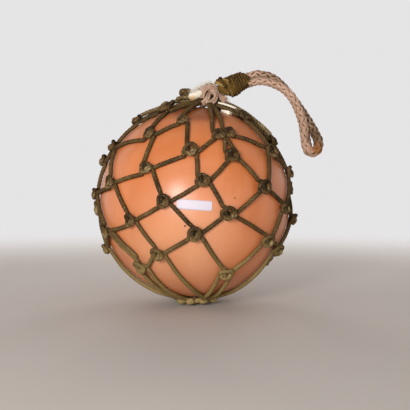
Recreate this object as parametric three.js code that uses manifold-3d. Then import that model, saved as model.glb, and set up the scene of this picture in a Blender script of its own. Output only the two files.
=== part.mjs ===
// A netted float ball: a round blown float in a knotted cord net, with a plaited carrying loop on top.
// Millimetres, +Z up, -Y to the front. The origin is the centre of the flat underside of the net's
// foot, on which the ball rests.
import * as THREE from 'three';
import { mergeVertices } from 'three/addons/utils/BufferGeometryUtils.js';
import Module from 'manifold-3d';

const wasm = await Module();
wasm.setup();

const v = (x, y, z) => new THREE.Vector3(x, y, z);
const radians = THREE.MathUtils.degToRad;

// ---------------------------------------------------------------- driving dimensions

const FLOAT_RADIUS = 150;         // a 12 inch float
const FLOAT_SEGMENTS = 28;
const GAP = 0.3;                  // left between pieces that touch

const CORD = 8;                   // net cord diameter
const CORD_SIDES = 6;
const CORD_STANDOFF = 1;          // the net isn't quite tight on the float
const CORD_LIE = FLOAT_RADIUS + CORD_STANDOFF + CORD / 2;

const FOOT_HEIGHT = 11;           // crushed net under the float
const FOOT_FLAT_RADIUS = 21;
const FOOT_RADIUS = 29;
const FLOAT_CENTRE = v(0, 0, FOOT_HEIGHT + FLOAT_RADIUS);

// The net: rows of knots about a leaning axis, each row half a mesh on from the one above.
const KNOTS_PER_ROW = 9;
const MESH_STEP = 360 / KNOTS_PER_ROW;
const NET_AXIS = v(0.16, -0.28, 0.95).normalize();
const ROW_LATITUDES = [63, 46, 29, 14.5, 0.5, -14, -29];
const LAST_ROW = ROW_LATITUDES.length - 1;
const EVEN_ROW_START = -74;       // longitude of a row's first knot, 0 to the front, + to the right
const ODD_ROW_START = EVEN_ROW_START - MESH_STEP / 2;
const BACK_SAG_TOP = 12.6;        // how far the rows hang lower at the back, degrees
const BACK_SAG_STEP = 3.2;

// A hand-tied net is uneven: [row, knot, degrees round, degrees up] for the knots that wander.
const WANDERING_KNOTS = [
  [0, 0, -10, 1], [0, 1, 2, 1], [0, 2, 7, -5], [0, 3, -21, -3], [0, 4, 15, 7],
  [1, 0, -2, 0], [1, 1, 5, 1], [1, 2, 5, -1], [1, 3, -4, -1], [1, 4, -1, 0],
  [2, 0, -8, -1], [2, 1, 1, 0], [2, 2, -3, 1], [2, 3, -3, -1], [2, 4, 3, 0],
  [3, 1, -2, -1], [3, 2, -2, 1], [3, 3, -7, 0], [3, 4, -4, 0],
  [4, 0, -6, -2], [4, 1, 1, 0], [4, 2, -3, 2], [4, 3, 1, -2], [4, 4, -3, 2],
  [5, 2, -1, 1], [5, 3, -1, -6], [5, 4, -5, 4],
  [6, 0, 7, -2], [6, 1, 8, 3], [6, 4, 12, 0],
];
// The last row has no knots here: the cords from the row above run straight down into the foot.
const SKIPPED_LAST_KNOTS = [2, 3];

// A mesh knot as [across, rise, thickness in cords] along the cord that makes it, and the bight of the
// cord above, which it hangs from.
const KNOT_TURNS = [[-7.5, -9.5, 1.15], [-4.2, -5.9, 1.6], [4.2, -5.9, 1.6], [7.5, -9.5, 1.15]];
const KNOT_LIE = FLOAT_RADIUS + 0.5 + CORD * 0.8;
const BIGHT = [[-3.6, 4.8], [3.6, 4.8]];
const TOP_CORD_END = 1;           // the cords of the top end just above their knots

// The net's top, drawn up under the carrying loop, and the knot that ties its cord off.
const COLLAR_CENTRE = v(20, -4, 321);
const COLLAR_HALF_SIZE = v(20, 17, 8);
const COLLAR_DIRECTION = COLLAR_CENTRE.clone().sub(FLOAT_CENTRE).normalize();
const TIE_KNOT_CENTRE = v(-15, -3, 333.5);
const TIE_KNOT_HALF_SIZE = v(10.5, 9, 7);

// The carrying loop: a plaited rope doubled back on itself. Its two legs come side by side out of a
// whipping, arch over and hang to a narrow eye. The places run from one end of the rope to the other.
const LOOP_ROPE = 12.5;
const LOOP_STEPS = 44;
const LOOP_ROUTE = [
  v(84.6, 3, 360.2), v(97, 3.6, 364), v(109, 4.4, 363), v(121, 5, 360), v(133, 5.5, 352),
  v(145, 5.8, 340), v(157, 5.8, 325), v(170, 5, 307), v(181, 3.5, 289), v(190, 2, 272),
  v(196, 0.8, 258), v(196, 0, 249), v(192, 0, 242), v(187, 0, 240), v(182, 0, 242),
  v(178, -0.6, 249), v(176, -1.5, 259), v(174, -2.8, 271), v(171, -4, 287), v(164, -5.2, 306),
  v(154, -5.8, 325), v(141, -5.8, 339), v(128, -5.4, 346), v(114, -4.6, 351), v(101, -3.8, 352),
  v(88.4, -3, 349.6),
];
const WHIPPING_START = v(45, 0, 340.5);
const WHIPPING_END = v(85.5, 0, 354.5);
const WHIPPING_TURNS = 9;
const WHIPPING_HALF_HEIGHT = 14.5;
const WHIPPING_GROOVE = 1.2;
const WHIPPING_FLATNESS = 0.75;   // depth against height: it binds two ropes side by side

// The hitch that holds the loop to the net: [rope diameter, places along it].
const HITCH_CORE = v(22, -2, 332);
const HITCH_CORE_HALF_SIZE = v(16, 13, 9);
const HITCH_ROPES = {
  backStub: [LOOP_ROPE, [v(24, 2, 338), v(34, 3, 342.4), v(42.7, 3, 345.6)]],
  frontStub: [LOOP_ROPE, [v(26, -3, 330), v(37, -3, 331.5), v(46.3, -3, 335)]],
  overTurn: [10, [v(40, 0, 340), v(28, -6, 341), v(16, -11, 339), v(7, -17, 332), v(3, -20, 325)]],
  leftTurn: [10, [v(30, -2, 338), v(24, -13, 337), v(15, -22, 330), v(10, -26, 319)]],
  rightTurn: [10, [v(36, -2, 336), v(31, -14, 335), v(25, -23, 328), v(19, -27, 318)]],
  cutEnd: [9.5, [v(12, -6, 334), v(4, -10, 330.5), v(-4, -14, 327)]],
  tail: [9, [v(28, -6, 331), v(39, -12, 327), v(51, -13, 322)]],
};

const TWINE_TAILS = [
  [4, [v(35, -17, 322), v(46, -20.5, 317), v(63, -18, 310.5)]],
  [5, [v(41, -31, 312), v(49, -33, 308), v(57, -33, 303.5)]],
];

const LABEL_SIZE = { width: 48.5, height: 13.8, corner: 2.5, thickness: 0.4, columns: 12 };
const LABEL_CENTRE = { x: 1.5, z: 161.6 };
const LABEL_TILT = -4;            // degrees, its left end higher

// ---------------------------------------------------------------- materials

function material(color, roughness) {
  return new THREE.MeshStandardMaterial({ color, roughness, metalness: 0 });
}
const terracottaGlass = material(0xd97a4f, 0.2);
const oliveCord = material(0x6f6136, 0.85);
const beigeRope = material(0xc3a184, 0.85);
const oliveTwine = material(0x5f5224, 0.85);
const whiteTwine = material(0xe6decb, 0.8);
const stickerPaper = material(0xeeeaf2, 0.5);

// ---------------------------------------------------------------- solids from cords

// A route that a sweep follows point by point.
class Route extends THREE.Curve {
  constructor(points, closed = false) {
    super();
    this.points = points;
    this.closed = closed;
    this.spans = closed ? points.length : points.length - 1;
  }
  at(index) {
    const last = this.points.length - 1;
    const kept = this.closed ? (index + this.points.length) % this.points.length : index;
    return this.points[THREE.MathUtils.clamp(kept, 0, last)];
  }
  getPoint(t) {
    const place = t * this.spans;
    const index = Math.min(Math.floor(place + 1e-6), this.spans);
    return this.at(index).clone().lerp(this.at(index + 1), Math.max(place - index, 0));
  }
  getPointAt(u) {
    return this.getPoint(u);
  }
  getTangentAt(u) {
    const index = Math.round(u * this.spans);
    return this.at(index + 1).clone().sub(this.at(index - 1)).normalize();
  }
}

function roundSection(diameter, sides) {
  const corners = [];
  for (let i = 0; i < sides; i += 1) {
    const angle = (i / sides) * Math.PI * 2;
    corners.push(new THREE.Vector2(Math.cos(angle), Math.sin(angle)).multiplyScalar(diameter / 2));
  }
  return new THREE.Shape(corners);
}

// Thickens the tube round each stop of its route, where a stop is { place, thickness }.
function thickened(tube, stops, radius) {
  const position = tube.attributes.position;
  const corner = new THREE.Vector3();
  for (let i = 0; i < position.count; i += 1) {
    corner.fromBufferAttribute(position, i);
    const offBy = (stop) => Math.abs(stop.place.distanceTo(corner) - radius);
    const own = stops.reduce((best, stop) => (offBy(stop) < offBy(best) ? stop : best));
    corner.sub(own.place).multiplyScalar(own.thickness).add(own.place);
    position.setXYZ(i, ...corner);
  }
  return tube;
}

function openCord(stops, diameter = CORD, sides = CORD_SIDES) {
  const route = new Route(stops.map((stop) => stop.place));
  const section = roundSection(diameter, sides);
  const tube = new THREE.ExtrudeGeometry(section, { steps: stops.length - 1, extrudePath: route });
  return thickened(tube, stops, diameter / 2);
}

function ringCord(stops) {
  const route = new Route(stops.map((stop) => stop.place), true);
  const tube = new THREE.TubeGeometry(route, stops.length, CORD / 2, CORD_SIDES, true);
  return thickened(tube, stops, CORD / 2);
}

const evenStops = (places) => places.map((place) => ({ place, thickness: 1 }));

function smoothStops(points, steps) {
  const curve = new THREE.CatmullRomCurve3(points, false, 'centripetal');
  return evenStops(curve.getSpacedPoints(steps));
}

function toManifold(geometry) {
  const bare = geometry.clone();
  bare.deleteAttribute('normal');
  bare.deleteAttribute('uv');
  const merged = mergeVertices(bare, 1e-4);
  return new wasm.Manifold(new wasm.Mesh({
    numProp: 3,
    vertProperties: new Float32Array(merged.attributes.position.array),
    triVerts: new Uint32Array(merged.index.array),
  }));
}

function fromManifold(solid) {
  const mesh = solid.getMesh();
  const geometry = new THREE.BufferGeometry();
  geometry.setAttribute('position', new THREE.BufferAttribute(mesh.vertProperties, 3));
  geometry.setIndex(new THREE.BufferAttribute(mesh.triVerts, 1));
  return geometry.toNonIndexed();
}

const united = (geometries) => geometries.map(toManifold).reduce((sum, next) => sum.add(next));
const joined = (geometries) => fromManifold(united(geometries));

function ellipsoid(centre, halfSize, around = 12, down = 6) {
  const ball = new THREE.SphereGeometry(1, around, down);
  ball.rotateX(Math.PI / 2);
  ball.scale(...halfSize);
  ball.translate(...centre);
  return ball;
}

// ---------------------------------------------------------------- places on the float

const netFront = v(0, -1, 0).projectOnPlane(NET_AXIS).normalize();
const netRight = new THREE.Vector3().crossVectors(NET_AXIS, netFront);

function netDirection(latitude, longitude) {
  const across = Math.cos(radians(latitude));
  return new THREE.Vector3()
    .addScaledVector(NET_AXIS, Math.sin(radians(latitude)))
    .addScaledVector(netFront, across * Math.cos(radians(longitude)))
    .addScaledVector(netRight, across * Math.sin(radians(longitude)));
}

// Turns a direction down towards the foot.
function lowered(direction, degrees) {
  const axis = v(0, 0, -1).cross(direction).normalize();
  return direction.clone().applyAxisAngle(axis, -radians(degrees));
}

function atRadius(place, radius) {
  return place.clone().sub(FLOAT_CENTRE).setLength(radius).add(FLOAT_CENTRE);
}

// Part of the way between two places, round the float.
function between(from, to, share) {
  const a = from.clone().sub(FLOAT_CENTRE);
  const b = to.clone().sub(FLOAT_CENTRE);
  const axis = a.clone().cross(b).normalize();
  const turned = a.applyAxisAngle(axis, share * a.angleTo(b));
  return turned.setLength(CORD_LIE).add(FLOAT_CENTRE);
}

function knotFrame(row, knot) {
  const index = (knot + KNOTS_PER_ROW) % KNOTS_PER_ROW;
  const wander = WANDERING_KNOTS.find(([r, k]) => r === row && k === index) ?? [row, index, 0, 0];
  const start = row % 2 === 0 ? EVEN_ROW_START : ODD_ROW_START;
  const longitude = start + MESH_STEP * index + wander[2];
  const leaning = netDirection(ROW_LATITUDES[row] + wander[3], longitude);
  const behind = Math.max(leaning.y, 0) / Math.hypot(leaning.x, leaning.y);
  const out = lowered(leaning, (BACK_SAG_TOP + BACK_SAG_STEP * row) * behind ** 2);
  const up = COLLAR_DIRECTION.clone().projectOnPlane(out).normalize();
  const side = new THREE.Vector3().crossVectors(up, out);
  return { out, up, side };
}

function besideKnot(frame, across, rise, lie = CORD_LIE) {
  const place = FLOAT_CENTRE.clone()
    .addScaledVector(frame.out, lie)
    .addScaledVector(frame.side, across)
    .addScaledVector(frame.up, rise);
  return atRadius(place, lie);
}

// ---------------------------------------------------------------- the net

function knotStops(frame) {
  return KNOT_TURNS.map(([across, rise, thickness]) => {
    const lie = thickness > 1.5 ? KNOT_LIE : CORD_LIE;
    return { place: besideKnot(frame, across, rise, lie), thickness };
  });
}

const bightPlaces = (frame) => BIGHT.map(([across, rise]) => besideKnot(frame, across, rise));

function hasKnot(row, knot) {
  const index = (knot + KNOTS_PER_ROW) % KNOTS_PER_ROW;
  return !(row === LAST_ROW && SKIPPED_LAST_KNOTS.includes(index));
}

const knotBelowRight = (row, knot) => (row % 2 === 0 ? knot + 1 : knot);

// From a knot down to the next row's knot on its right, round in a bight and on towards the next knot.
function halfMeshStops(row, knot) {
  const [, , , leave] = knotStops(knotFrame(row, knot));
  const [arrive] = knotStops(knotFrame(row, knot + 1));
  const [left, right] = bightPlaces(knotFrame(row + 1, knotBelowRight(row, knot)));
  return evenStops([between(leave.place, left, 0.5), left, right, between(right, arrive.place, 0.5)]);
}

// From a knot down to a place on the rim of the foot.
function footLegStops(from, azimuth, endRadius) {
  const angle = radians(azimuth);
  const across = v(Math.sin(angle), -Math.cos(angle), 0).setLength(endRadius);
  const to = FLOAT_CENTRE.clone().add(across);
  to.z -= Math.sqrt(CORD_LIE ** 2 - endRadius ** 2);
  return evenStops([0.25, 0.5, 0.75, 1].map((share) => between(from, to, share)));
}

const footAzimuth = (knot, side) => EVEN_ROW_START + MESH_STEP * (knot + side / 4);

// A whole row of half meshes, closed on itself.
function netCourse(row) {
  const stops = [];
  for (let knot = 0; knot < KNOTS_PER_ROW; knot += 1) {
    stops.push(...knotStops(knotFrame(row, knot)), ...halfMeshStops(row, knot));
  }
  return ringCord(stops);
}

// The last whole row: it opens at the front, where its two ends run down to the foot.
function openCourse(row) {
  const [firstSkipped, lastSkipped] = SKIPPED_LAST_KNOTS;
  const start = lastSkipped + 1;
  const end = firstSkipped + KNOTS_PER_ROW;
  const stop = FOOT_RADIUS + CORD / 2;
  const stops = [];
  for (let knot = start; knot <= end; knot += 1) {
    stops.push(...knotStops(knotFrame(row, knot)));
    if (knot < end) {
      stops.push(...halfMeshStops(row, knot));
    }
  }
  const before = footLegStops(stops[0].place, footAzimuth(lastSkipped, 1), stop).reverse();
  const after = footLegStops(stops.at(-1).place, footAzimuth(firstSkipped, -1), stop);
  return openCord([...before, ...stops, ...after]);
}

// The crushed end of the net under the float: flat below, hollowed above to the float's curve.
function footPad() {
  const hollow = FLOAT_RADIUS + GAP;
  const rim = FOOT_RADIUS - 1;
  const profile = [[0, 0], [FOOT_FLAT_RADIUS, 0], [rim, 4], [FOOT_RADIUS, 8], [rim, 13]];
  for (const share of [0.9, 0.5, 0]) {
    profile.push([rim * share, FLOAT_CENTRE.z - Math.sqrt(hollow ** 2 - (rim * share) ** 2)]);
  }
  const pad = new THREE.LatheGeometry(profile.map(([x, y]) => new THREE.Vector2(x, y)), 16);
  return pad.rotateX(Math.PI / 2);
}

// One knot with both its cords running down into the foot.
function footKnot(frame, leftAzimuth, rightAzimuth) {
  const knot = knotStops(frame);
  const end = FOOT_RADIUS - CORD / 2;
  const left = footLegStops(knot[0].place, leftAzimuth, end).reverse();
  const right = footLegStops(knot.at(-1).place, rightAzimuth, end);
  return openCord([...left, ...knot, ...right]);
}

function netFoot() {
  const pieces = [footPad()];
  for (let knot = 0; knot < KNOTS_PER_ROW; knot += 1) {
    if (hasKnot(LAST_ROW, knot)) {
      const frame = knotFrame(LAST_ROW, knot);
      pieces.push(footKnot(frame, footAzimuth(knot, -1), footAzimuth(knot, 1)));
    }
  }
  const [firstSkipped, lastSkipped] = SKIPPED_LAST_KNOTS;
  const lone = knotFrame(LAST_ROW - 1, lastSkipped);
  pieces.push(footKnot(lone, footAzimuth(firstSkipped, 1), footAzimuth(lastSkipped, -1)));
  return joined(pieces);
}

// The cords that draw the top row together into the collar, with the knot that ties them off.
// A margin above 0 grows every piece by that much.
function netTopPieces(margin = 0) {
  const cord = CORD + 2 * margin;
  const grown = (halfSize) => halfSize.clone().addScalar(margin);
  const tieCord = [TIE_KNOT_CENTRE, v(-3, -3, 328), v(10, -4, 323)];
  const pieces = [
    ellipsoid(COLLAR_CENTRE, grown(COLLAR_HALF_SIZE), 14, 6),
    ellipsoid(TIE_KNOT_CENTRE, grown(TIE_KNOT_HALF_SIZE), 8, 5),
    openCord(evenStops(tieCord), cord),
  ];
  for (let knot = 0; knot < KNOTS_PER_ROW; knot += 1) {
    const frame = knotFrame(0, knot);
    const inside = COLLAR_CENTRE.clone().addScaledVector(frame.up, -6);
    const end = besideKnot(frame, 0, TOP_CORD_END - margin);
    const rise = inside.distanceTo(FLOAT_CENTRE) - CORD_LIE;
    const leg = [0.3, 0.65].map(
      (share) => atRadius(between(end, inside, share), CORD_LIE + rise * share ** 2),
    );
    pieces.push(openCord(evenStops([end, ...leg, inside]), cord));
  }
  return pieces;
}

// ---------------------------------------------------------------- the carrying loop

function hitch() {
  const ropes = Object.values(HITCH_ROPES).map(
    ([diameter, places]) => openCord(smoothStops(places, places.length), diameter, 6),
  );
  const whole = united([ellipsoid(HITCH_CORE, HITCH_CORE_HALF_SIZE), ...ropes]);
  return fromManifold(whole.subtract(united(netTopPieces(GAP))));
}

// Tight turns of twine, with a groove between each turn and the next.
function whipping() {
  const axis = WHIPPING_END.clone().sub(WHIPPING_START);
  const pitch = axis.length() / WHIPPING_TURNS;
  const profile = [[0, 0]];
  for (let turn = 0; turn < WHIPPING_TURNS; turn += 1) {
    profile.push([WHIPPING_HALF_HEIGHT - WHIPPING_GROOVE, turn * pitch]);
    profile.push([WHIPPING_HALF_HEIGHT, (turn + 0.5) * pitch]);
  }
  profile.push([WHIPPING_HALF_HEIGHT - WHIPPING_GROOVE, axis.length()], [0, axis.length()]);
  const turns = new THREE.LatheGeometry(profile.map(([x, y]) => new THREE.Vector2(x, y)), 12);
  turns.rotateX(Math.PI / 2).scale(1, WHIPPING_FLATNESS, 1);
  const along = axis.normalize();
  const depth = v(0, -1, 0);
  const height = new THREE.Vector3().crossVectors(depth, along);
  return turns.applyMatrix4(new THREE.Matrix4().makeBasis(height, depth, along).setPosition(WHIPPING_START));
}

// ---------------------------------------------------------------- the label

// A plain paper sticker with its corners cut off, bent to the float.
function label() {
  const { width, height, corner, thickness, columns } = LABEL_SIZE;
  const sheet = new THREE.BoxGeometry(width, height, thickness, columns, 1, 1);
  const position = sheet.attributes.position;
  for (let i = 0; i < position.count; i += 1) {
    const atEnd = Math.abs(position.getX(i)) > width / 2 - 0.1;
    const y = position.getY(i);
    position.setY(i, atEnd ? y - Math.sign(y) * corner : y);
  }
  sheet.rotateZ(radians(LABEL_TILT));
  sheet.translate(LABEL_CENTRE.x, LABEL_CENTRE.z - FLOAT_CENTRE.z, thickness / 2);
  for (let i = 0; i < position.count; i += 1) {
    const [x, z] = [position.getX(i), position.getY(i)];
    const place = v(x, -Math.sqrt(FLOAT_RADIUS ** 2 - x ** 2 - z ** 2), z);
    place.setLength(FLOAT_RADIUS + GAP + position.getZ(i)).add(FLOAT_CENTRE);
    position.setXYZ(i, ...place);
  }
  return sheet;
}

// ---------------------------------------------------------------- the object

const object = new THREE.Group();
function add(name, geometry, look) {
  const piece = new THREE.Mesh(geometry, look);
  piece.name = name;
  object.add(piece);
}

function floatBall() {
  const ball = new THREE.SphereGeometry(FLOAT_RADIUS, FLOAT_SEGMENTS, FLOAT_SEGMENTS / 2);
  return ball.rotateX(Math.PI / 2).translate(...FLOAT_CENTRE);
}

add('float_ball', floatBall(), terracottaGlass);
for (let row = 0; row < LAST_ROW - 1; row += 1) {
  add(`net_course_${row + 1}`, netCourse(row), oliveCord);
}
add(`net_course_${LAST_ROW}`, openCourse(LAST_ROW - 1), oliveCord);
add('net_foot', netFoot(), oliveCord);
add('net_top', joined(netTopPieces()), oliveCord);
add('handle_hitch', hitch(), beigeRope);
add('handle_whipping', whipping(), oliveTwine);
add('handle_rope', openCord(smoothStops(LOOP_ROUTE, LOOP_STEPS), LOOP_ROPE, 8), beigeRope);
TWINE_TAILS.forEach(([diameter, places], i) => {
  add(`twine_tail_${i + 1}`, openCord(smoothStops(places, 4), diameter), whiteTwine);
});
add('label', label(), stickerPaper);

export default object;
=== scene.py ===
"""The looks of a netted float ball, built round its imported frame. Metres, +Z up, -Y to the front."""
import math

import bmesh
import bpy
import numpy as np
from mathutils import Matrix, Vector


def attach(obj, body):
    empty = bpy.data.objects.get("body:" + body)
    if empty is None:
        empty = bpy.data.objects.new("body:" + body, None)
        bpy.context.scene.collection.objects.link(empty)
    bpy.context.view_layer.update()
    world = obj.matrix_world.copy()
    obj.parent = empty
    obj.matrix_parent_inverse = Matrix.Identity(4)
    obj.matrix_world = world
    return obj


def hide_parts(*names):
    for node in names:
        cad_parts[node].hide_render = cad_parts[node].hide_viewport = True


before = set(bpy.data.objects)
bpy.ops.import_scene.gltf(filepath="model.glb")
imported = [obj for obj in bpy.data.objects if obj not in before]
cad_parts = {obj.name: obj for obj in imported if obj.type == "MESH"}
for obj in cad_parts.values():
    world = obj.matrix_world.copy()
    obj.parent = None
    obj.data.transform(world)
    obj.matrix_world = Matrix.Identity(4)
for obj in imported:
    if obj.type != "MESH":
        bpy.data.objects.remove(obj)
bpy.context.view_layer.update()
BODY = "root"

# ---------------- the float and its net

FLOAT_RADIUS = 0.15
FOOT_HEIGHT = 0.011
FLOAT_CENTRE = np.array([0.0, 0.0, FOOT_HEIGHT + FLOAT_RADIUS])
FLOAT_SEGMENTS = 160
FLOAT_UNEVENNESS = 0.0012  # how far the blown ball is out of true, to its radius

CORD_RADIUS = 0.0034
CORD_SIDES = 9
CORD_STEP = 0.00172  # between the rings of a swept cord
CORD_LAY = 0.017  # one full turn of a strand
CORD_LIE = FLOAT_RADIUS + 0.0001 + CORD_RADIUS
ROUTE_FINENESS = 12  # places on a curve between two given ones, before they are evened out

KNOTS_PER_ROW = 9
MESH_STEP = 360 / KNOTS_PER_ROW
NET_LEAN = (0.16, -0.28, 0.95)  # which way the net's axis points
ROW_LATITUDES = (63, 46, 29, 14.5, 0.5, -14, -29)
LAST_ROW = len(ROW_LATITUDES) - 1
EVEN_ROW_START = -74  # longitude of a row's first knot, 0 to the front and + to the right
ODD_ROW_START = EVEN_ROW_START - MESH_STEP / 2
BACK_SAG_TOP = 12.6  # how far the rows hang lower at the back, degrees
BACK_SAG_STEP = 3.2  # and how much further each row does
SKIPPED_LAST_KNOTS = (2, 3)  # the last row isn't tied there

# A hand-tied net is uneven: (row, knot): (degrees round, degrees up) for the knots that wander.
WANDERING_KNOTS = {
    (0, 0): (-10, 1), (0, 1): (2, 1), (0, 2): (7, -5), (0, 3): (-21, -3), (0, 4): (15, 7),
    (1, 0): (-2, 0), (1, 1): (5, 1), (1, 2): (5, -1), (1, 3): (-4, -1), (1, 4): (-1, 0),
    (2, 0): (-8, -1), (2, 1): (1, 0), (2, 2): (-3, 1), (2, 3): (-3, -1), (2, 4): (3, 0),
    (3, 1): (-2, -1), (3, 2): (-2, 1), (3, 3): (-7, 0), (3, 4): (-4, 0),
    (4, 0): (-6, -2), (4, 1): (1, 0), (4, 2): (-3, 2), (4, 3): (1, -2), (4, 4): (-3, 2),
    (5, 2): (-1, 1), (5, 3): (-1, -6), (5, 4): (-5, 4),
    (6, 0): (7, -2), (6, 1): (8, 3), (6, 4): (12, 0),
}

# Cords of the last knots that were drawn further round in the foot: (knot, side): degrees.
DRAWN_LEGS = {(0, -1): 24, (0, 1): 16, (1, -1): 8, (1, 1): 4, (2, -1): 45}
SLACK_LEG_PULL = 0.006  # how far one of them is dragged sideways
DOUBLED_LEG_KNOT = 1  # the knot of the last row that a doubled leg comes down to
DOUBLED_LEG_GAP = 0.0062
# The second cord of the doubled leg: (share of the way down, share of the gap).
DOUBLED_LEG_SHAPE = ((-0.04, 0.3), (0.1, 0.95), (0.5, 1.0), (0.9, 0.95), (1.04, 0.3))

# The crushed end of the net. Each cord runs in from the rim: (degrees round, radius, height, wear).
FOOT_RIM = 0.036
FOOT_RIM_HEIGHT = FLOAT_CENTRE[2] - math.sqrt(CORD_LIE ** 2 - FOOT_RIM ** 2)
FOOT_TURNS = (
    (0, FOOT_RIM, FOOT_RIM_HEIGHT, 0.5), (14, 0.029, 0.0075, 0.7), (40, 0.024, 0.0058, 0.85),
    (75, 0.021, 0.0052, 0.7), (105, 0.014, 0.0048, 0.5),
)
FOOT_LOOPS = ((0.0275, 0.0062, 5), (0.0235, 0.0075, 4), (0.0325, 0.009, 6))  # (radius, height, waves)
# Lumps of cord along its rim: (degrees round, radius, height).
FOOT_LUMPS = ((-34, 0.036, 0.0085), (-12, 0.034, 0.008), (22, 0.035, 0.009), (58, 0.034, 0.0085))
FOOT_LUMP_HALF_SIZE = (0.0055, 0.0042, 0.0036)

# A netting knot, seen from outside the float, in knot units: (across, up, out, wear and painted shade). The
# bight of the row above comes down into it, and the own cord goes up on its left, over it, down on its right
# and back under.
KNOT_UNIT = 0.0069
KNOT_REACH = 1.3  # in knot units, how far out its turns are pulled about
KNOT_TIGHTNESS = 0.92  # how thin the cord is pulled in a knot
KNOT_BLEACH = 0.25  # how much more wear the lowest knots have than their turns say
KNOT_BULGE = 0.2  # how much further a knot's outer turns stand out
# Turns that lie under others have little wear: that darkening is painted shade.
BIGHT_TURNS = (
    (-1.15, 1.05, 0.6, 0.4), (-0.7, 0.85, 0.8, 0.2), (-0.5, 0.3, 1.1, 0.0), (-0.4, -0.4, 1.15, 0.05),
    (0.05, -0.9, 1.25, 0.3), (0.55, -0.75, 1.5, 0.8), (0.6, -0.1, 1.45, 0.7), (0.85, 0.4, 0.9, 0.1),
    (1.6, 0.15, 0.6, 0.4),
)
OWN_TURNS = (
    (-0.95, -1.45, 0.6, 0.45), (-1.15, -0.7, 0.8, 0.4), (-1.2, 0.05, 1.0, 0.55), (-0.95, 0.65, 1.25, 0.3),
    (-0.3, 1.0, 1.4, 0.15), (0.5, 0.9, 1.45, 0.25), (1.1, 0.35, 1.3, 0.55), (1.15, -0.35, 1.25, 0.8),
    (0.7, -1.0, 1.25, 0.8), (-0.1, -1.25, 1.25, 0.8), (-0.75, -0.95, 1.1, 0.55), (-0.95, -0.4, 0.9, 0.1),
    (-0.45, 0.05, 0.6, 0.0), (0.4, -0.15, 0.55, 0.0), (0.9, -0.25, 0.58, 0.15), (1.45, -0.35, 0.6, 0.4),
)

COLLAR_CENTRE = np.array([0.02, -0.004, 0.321])
COLLAR_HALF_SIZE = np.array([0.018, 0.015, 0.0075])
TIE_KNOT_CENTRE = np.array([-0.0145, -0.003, 0.334])
TIE_KNOT_HALF_SIZE = np.array([0.0088, 0.0068, 0.005])
TIE_CORDS = (
    ((-0.03, -0.004, 0.3235), (-0.02, -0.007, 0.326), (-0.009, -0.009, 0.326), (0.002, -0.009, 0.3245),
     (0.012, -0.008, 0.32)),
    ((-0.032, 0.002, 0.32), (-0.02, 0.001, 0.322), (-0.008, 0.0, 0.3225), (0.004, 0.001, 0.322),
     (0.016, 0.0, 0.319)),
)
WOUND_STEP = 0.0016  # between the rings of a cord that is wound in a lump
SINGLE_TOP_KNOTS = (1, 2, 3)  # the others hang from a doubled cord
SINGLE_KNOT_SIZE = 0.85  # how large they are, to the others
# Spare cord that was drawn up over the shoulders of the float, on top of the net.
SHOULDER_CORDS = (
    ((-0.0226, -0.002, 0.324), (-0.041, -0.002, 0.316), (-0.0594, -0.002, 0.3088),
     (-0.0778, -0.002, 0.3018), (-0.089, -0.0015, 0.2955), (-0.096, -0.001, 0.286)),
    ((0.03, 0.004, 0.3275), (0.0409, 0.003, 0.3225), (0.0656, 0.002, 0.311), (0.0825, 0.001, 0.301),
     (0.0969, 0.0, 0.2896), (0.1098, 0.0, 0.2787), (0.1215, 0.0, 0.2666)),
    ((0.025, -0.006, 0.3255), (0.038, -0.004, 0.3195), (0.056, -0.002, 0.3105), (0.076, 0.001, 0.2985),
     (0.0936, 0.0, 0.2852), (0.106, -0.003, 0.2747), (0.1174, -0.004, 0.263)),
)

# ---------------- the carrying loop

ROPE_ROUTE = (
    (0.0846, 0.003, 0.3602), (0.097, 0.0036, 0.364), (0.109, 0.0044, 0.363), (0.121, 0.005, 0.36),
    (0.133, 0.0055, 0.352), (0.145, 0.0058, 0.34), (0.157, 0.0058, 0.325), (0.17, 0.005, 0.307),
    (0.181, 0.0035, 0.289), (0.19, 0.002, 0.272), (0.196, 0.0008, 0.258), (0.196, 0.0, 0.249),
    (0.192, 0.0, 0.242), (0.187, 0.0, 0.24), (0.182, 0.0, 0.242), (0.178, -0.0006, 0.249),
    (0.176, -0.0015, 0.259), (0.174, -0.0028, 0.271), (0.171, -0.004, 0.287), (0.164, -0.0052, 0.306),
    (0.154, -0.0058, 0.325), (0.141, -0.0058, 0.339), (0.128, -0.0054, 0.346), (0.114, -0.0046, 0.351),
    (0.101, -0.0038, 0.352), (0.0884, -0.003, 0.3496),
)
BRAID_STRANDS = 5  # in each of the two ways round
BRAID_RADIUS = 0.0043  # to the middle of its strands
BRAID_WEAVE = 0.0011  # how far a strand goes over and under the others
BRAID_TURN = 0.082  # along the rope, for one turn of a strand
BRAID_STRAND_HALF_WIDTH = 0.0028
BRAID_STRAND_FLATNESS = 0.62
BRAID_EDGE_SHADE = 0.6  # how much darker a strand is along its edges, painted shade between the strands
BRAID_UNDER_SHADE = 0.5  # how much darker a strand is where it goes under, painted shade
BRAID_TUCK = 0.0045  # how far each end runs on into the whipping
BRAID_STEP = 0.0011  # between the rings of a strand
# How worn and how thick the loop is along its length, its far leg darker with painted shade: (share, wear
# and painted shade) and (share, thickness).
ROPE_WEAR_AND_SHADE = ((0, 0.55), (0.1, 0.35), (0.3, 0.15), (0.46, 0.2), (0.56, 0.75), (1, 0.7))
ROPE_THICKNESS = (
    (0, 0.92), (0.12, 0.95), (0.28, 0.95), (0.38, 1.16), (0.5, 1.2), (0.6, 1.24), (0.75, 1.1), (0.9, 0.98),
    (1, 0.92),
)

WHIPPING_LEAN = 20  # degrees up from level, of the line that its turns go round
WHIPPING_TURNS = 11
WHIPPING_TWINE_RADIUS = 0.0025
WHIPPING_FLATNESS = 0.75
WHIPPING_STEPS_PER_TURN = 14
WHIPPING_CORE = 0.82  # how thick what it binds is, to its turns
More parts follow.
